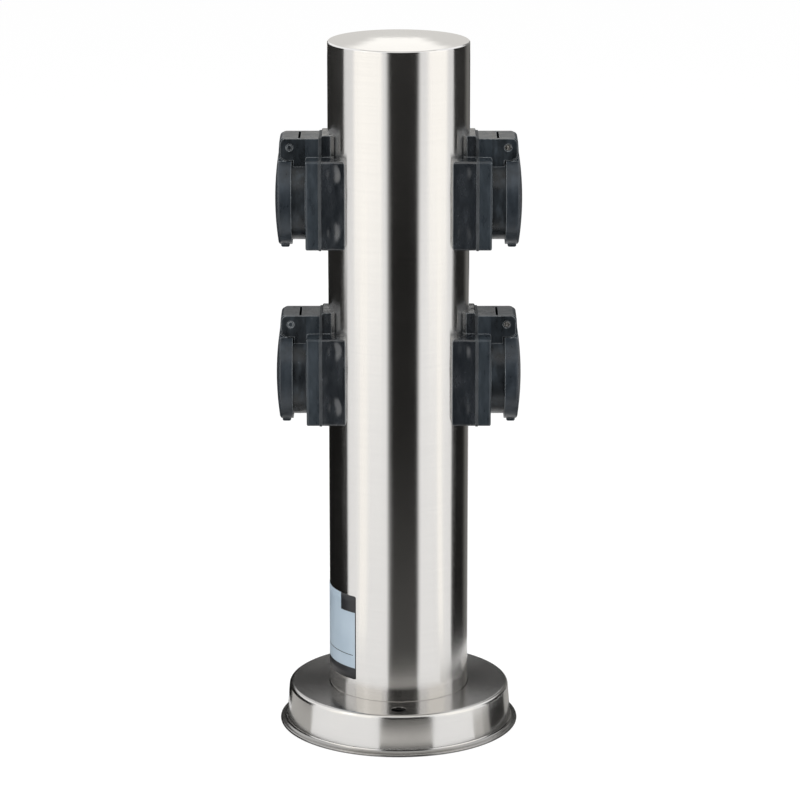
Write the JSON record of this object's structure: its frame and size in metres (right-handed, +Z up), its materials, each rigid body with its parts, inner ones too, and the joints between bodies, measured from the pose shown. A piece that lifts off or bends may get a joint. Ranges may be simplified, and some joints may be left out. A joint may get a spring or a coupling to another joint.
{
  "type": "garden socket post",
  "caption": "Round brushed steel garden socket post on a pressed base, with weatherproof outlets under sprung hinged lids on both sides.",
  "frame": {"origin": "centre of the base's footprint, on the ground", "axes": "+Z up along the tube, +X towards the right-hand outlets, -Y towards the front"},
  "size_m": [0.1322, 0.131, 0.38],
  "materials": {
    "tube_steel": "fine brushing round the tube, satin",
    "cap_steel": "bright satin",
    "base_steel": "fine brushing, satin",
    "foot_alloy": "cast, dark grey, dull",
    "black_plastic": "moulded, half gloss, blue-black",
    "seal_rubber": "dull black",
    "insert_plastic": "pale grey, dull",
    "contact_brass": "plain",
    "screw_steel": "zinc plated",
    "pin_steel": "turned, bright",
    "spring_steel": "drawn wire",
    "line_insulation": "brown",
    "neutral_insulation": "blue",
    "earth_insulation": "green and yellow"
  },
  "bodies": {
    "post": {"post_tube": "tube_steel", "top_cap": "cap_steel", "base_cover": "base_steel", "foot_plate": "foot_alloy", "foot_screws": "screw_steel", "cable_grommet": "seal_rubber", "terminal_bracket": "screw_steel", "terminal_block": "insert_plastic", "line_wires": "line_insulation", "neutral_wires": "neutral_insulation", "earth_wires": "earth_insulation", "earth_stud": "contact_brass", "socket_screws": "screw_steel", "insert_screws": "screw_steel", "upper_left_saddle": "black_plastic", "upper_left_gasket": "seal_rubber", "upper_left_frame": "black_plastic", "upper_left_insert": "insert_plastic", "upper_left_contacts": "contact_brass", "upper_left_earth_strap": "contact_brass", "upper_left_back_bracket": "screw_steel", "upper_left_hinge_pin": "pin_steel", "upper_left_lid_spring": "spring_steel", "upper_right_saddle": "black_plastic", "upper_right_gasket": "seal_rubber", "upper_right_frame": "black_plastic", "upper_right_insert": "insert_plastic", "upper_right_contacts": "contact_brass", "upper_right_earth_strap": "contact_brass", "upper_right_back_bracket": "screw_steel", "upper_right_hinge_pin": "pin_steel", "upper_right_lid_spring": "spring_steel", "lower_left_saddle": "black_plastic", "lower_left_gasket": "seal_rubber", "lower_left_frame": "black_plastic", "lower_left_insert": "insert_plastic", "lower_left_contacts": "contact_brass", "lower_left_earth_strap": "contact_brass", "lower_left_back_bracket": "screw_steel", "lower_left_hinge_pin": "pin_steel", "lower_left_lid_spring": "spring_steel", "lower_right_saddle": "black_plastic", "lower_right_gasket": "seal_rubber", "lower_right_frame": "black_plastic", "lower_right_insert": "insert_plastic", "lower_right_contacts": "contact_brass", "lower_right_earth_strap": "contact_brass", "lower_right_back_bracket": "screw_steel", "lower_right_hinge_pin": "pin_steel", "lower_right_lid_spring": "spring_steel"},
    "upper_left_lid": {"upper_left_lid": "black_plastic", "upper_left_lid_seal": "seal_rubber"},
    "upper_right_lid": {"upper_right_lid": "black_plastic", "upper_right_lid_seal": "seal_rubber"},
    "lower_left_lid": {"lower_left_lid": "black_plastic", "lower_left_lid_seal": "seal_rubber"},
    "lower_right_lid": {"lower_right_lid": "black_plastic", "lower_right_lid_seal": "seal_rubber"}
  },
  "joints": [
    {"name": "upper_left_hinge", "type": "hinge", "parent": "post", "child": "upper_left_lid", "pos_m": [-0.0581, 0, 0.3238], "axis": [0, 1, 0], "range_deg": [0, 110], "stiffness_Nm_per_rad": 0.04, "springref_deg": -34.38, "deforming": ["upper_left_lid_spring"]},
    {"name": "upper_right_hinge", "type": "hinge", "parent": "post", "child": "upper_right_lid", "pos_m": [0.0581, 0, 0.3238], "axis": [0, -1, 0], "range_deg": [0, 110], "stiffness_Nm_per_rad": 0.04, "springref_deg": -34.38, "deforming": ["upper_right_lid_spring"]},
    {"name": "lower_left_hinge", "type": "hinge", "parent": "post", "child": "lower_left_lid", "pos_m": [-0.0581, 0, 0.2273], "axis": [0, 1, 0], "range_deg": [0, 110], "stiffness_Nm_per_rad": 0.04, "springref_deg": -34.38, "deforming": ["lower_left_lid_spring"]},
    {"name": "lower_right_hinge", "type": "hinge", "parent": "post", "child": "lower_right_lid", "pos_m": [0.0581, 0, 0.2273], "axis": [0, -1, 0], "range_deg": [0, 110], "stiffness_Nm_per_rad": 0.04, "springref_deg": -34.38, "deforming": ["lower_right_lid_spring"]}
  ]
}
